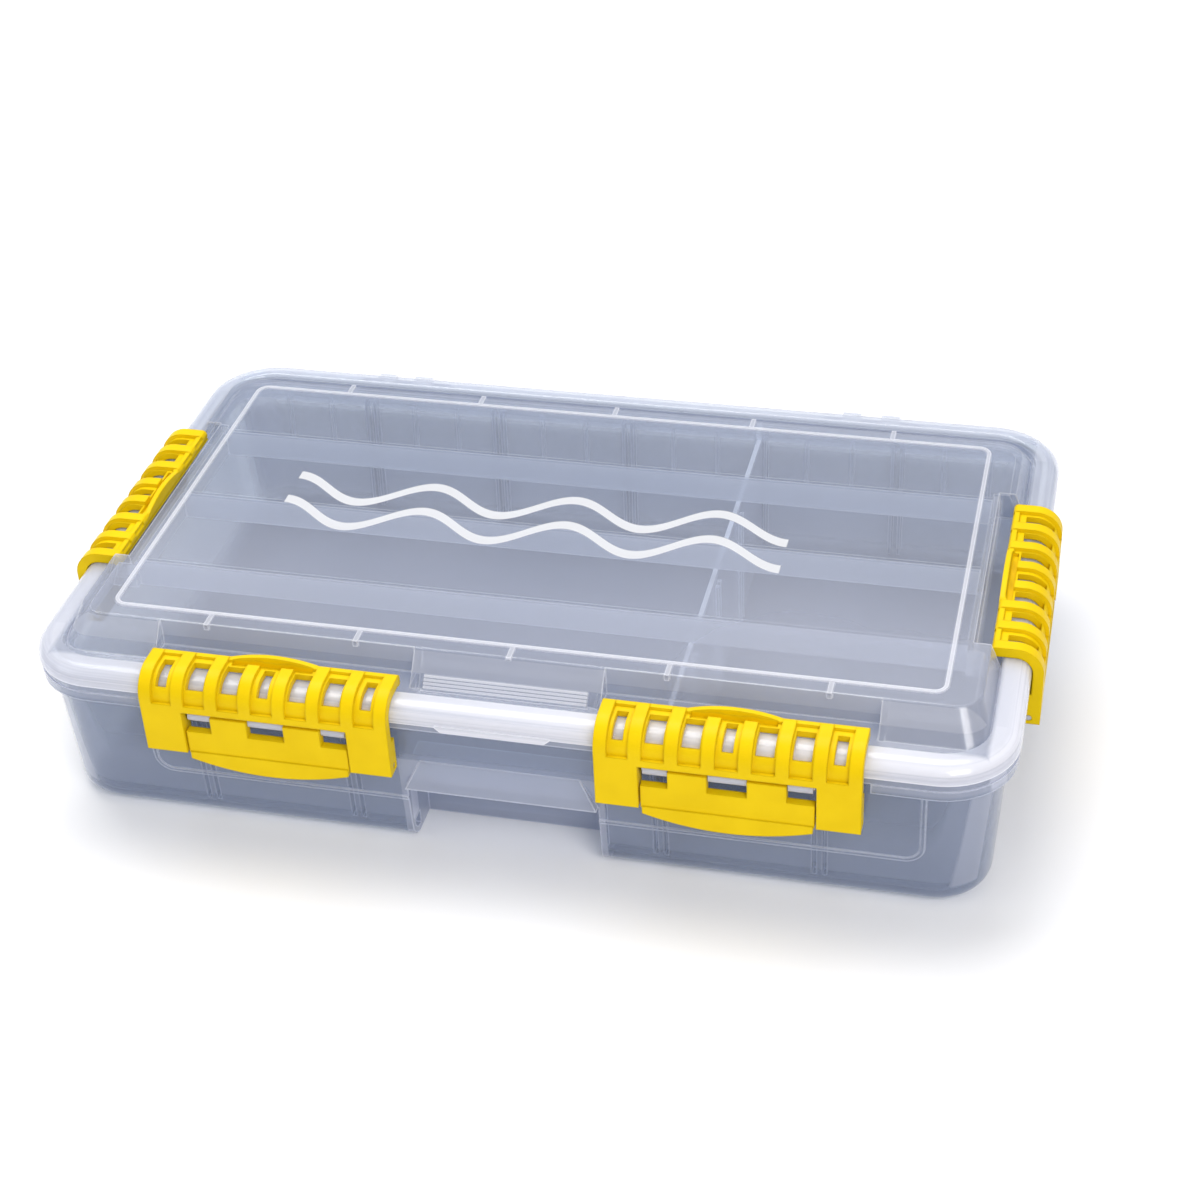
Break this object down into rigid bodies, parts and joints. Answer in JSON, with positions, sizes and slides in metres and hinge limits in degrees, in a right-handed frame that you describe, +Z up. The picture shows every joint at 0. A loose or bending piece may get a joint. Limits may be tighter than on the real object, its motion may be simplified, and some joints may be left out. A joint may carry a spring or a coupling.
{
  "type": "fishing tackle box",
  "caption": "Clear shallow storage tray for fishing tackle with a hinged gasketed lid, hooped yellow draw latches on the front and ends, and a lift-out divider.",
  "frame": {"origin": "centre of the flat underside of the tray", "axes": "+X along the length, towards the end that holds the divider; +Z up, out of the lid; -Y towards the front with two latches"},
  "size_m": [0.3642, 0.2322, 0.0746],
  "materials": {
    "tray_clear": "translucent moulded polypropylene",
    "lid_clear": "translucent moulded polypropylene",
    "divider_clear": "translucent moulded polypropylene",
    "gasket_rubber": "soft pale seal",
    "latch_yellow": "satin yellow moulded plastic",
    "pin_steel": "drawn steel pin"
  },
  "bodies": {
    "tray": {"base_tray": "tray_clear", "long_divider": "divider_clear", "hinge_pin_left": "pin_steel", "hinge_pin_right": "pin_steel", "front_left_lever_pin": "pin_steel", "front_right_lever_pin": "pin_steel", "side_left_lever_pin": "pin_steel", "side_right_lever_pin": "pin_steel"},
    "lid": {"lid": "lid_clear", "lid_gasket": "gasket_rubber"},
    "front_left_lever": {"front_left_latch_lever": "latch_yellow"},
    "front_left_frame": {"front_left_latch_frame": "latch_yellow", "front_left_link_pin": "pin_steel"},
    "front_right_lever": {"front_right_latch_lever": "latch_yellow"},
    "front_right_frame": {"front_right_latch_frame": "latch_yellow", "front_right_link_pin": "pin_steel"},
    "side_left_lever": {"side_left_latch_lever": "latch_yellow"},
    "side_left_frame": {"side_left_latch_frame": "latch_yellow", "side_left_link_pin": "pin_steel"},
    "side_right_lever": {"side_right_latch_lever": "latch_yellow"},
    "side_right_frame": {"side_right_latch_frame": "latch_yellow", "side_right_link_pin": "pin_steel"}
  },
  "joints": [
    {"name": "lid_hinge", "type": "hinge", "parent": "tray", "child": "lid", "pos_m": [0, 0.1145, 0.0575], "axis": [-1, 0, 0], "range_deg": [0, 105]},
    {"name": "front_left_lever_hinge", "type": "hinge", "parent": "tray", "child": "front_left_lever", "pos_m": [-0.0825, -0.1109, 0.054], "axis": [-1, 0, 0], "range_deg": [0, 75]},
    {"name": "front_left_frame_link", "type": "hinge", "parent": "front_left_lever", "child": "front_left_frame", "pos_m": [-0.0825, -0.1109, 0.0415], "axis": [1, 0, 0], "range_deg": [0, 150]},
    {"name": "front_right_lever_hinge", "type": "hinge", "parent": "tray", "child": "front_right_lever", "pos_m": [0.0825, -0.1109, 0.054], "axis": [-1, 0, 0], "range_deg": [0, 75]},
    {"name": "front_right_frame_link", "type": "hinge", "parent": "front_right_lever", "child": "front_right_frame", "pos_m": [0.0825, -0.1109, 0.0415], "axis": [1, 0, 0], "range_deg": [0, 150]},
    {"name": "side_left_lever_hinge", "type": "hinge", "parent": "tray", "child": "side_left_lever", "pos_m": [-0.1779, 0, 0.054], "axis": [0, 1, 0], "range_deg": [0, 75]},
    {"name": "side_left_frame_link", "type": "hinge", "parent": "side_left_lever", "child": "side_left_frame", "pos_m": [-0.1779, 0, 0.0415], "axis": [0, -1, 0], "range_deg": [0, 150]},
    {"name": "side_right_lever_hinge", "type": "hinge", "parent": "tray", "child": "side_right_lever", "pos_m": [0.1779, 0, 0.054], "axis": [0, -1, 0], "range_deg": [0, 75]},
    {"name": "side_right_frame_link", "type": "hinge", "parent": "side_right_lever", "child": "side_right_frame", "pos_m": [0.1779, 0, 0.0415], "axis": [0, 1, 0], "range_deg": [0, 150]}
  ],
  "couplings": [
    {"joint": "front_left_frame_link", "follows": "front_left_lever_hinge", "ratio": 2},
    {"joint": "front_right_frame_link", "follows": "front_right_lever_hinge", "ratio": 2},
    {"joint": "side_left_frame_link", "follows": "side_left_lever_hinge", "ratio": 2},
    {"joint": "side_right_frame_link", "follows": "side_right_lever_hinge", "ratio": 2}
  ]
}
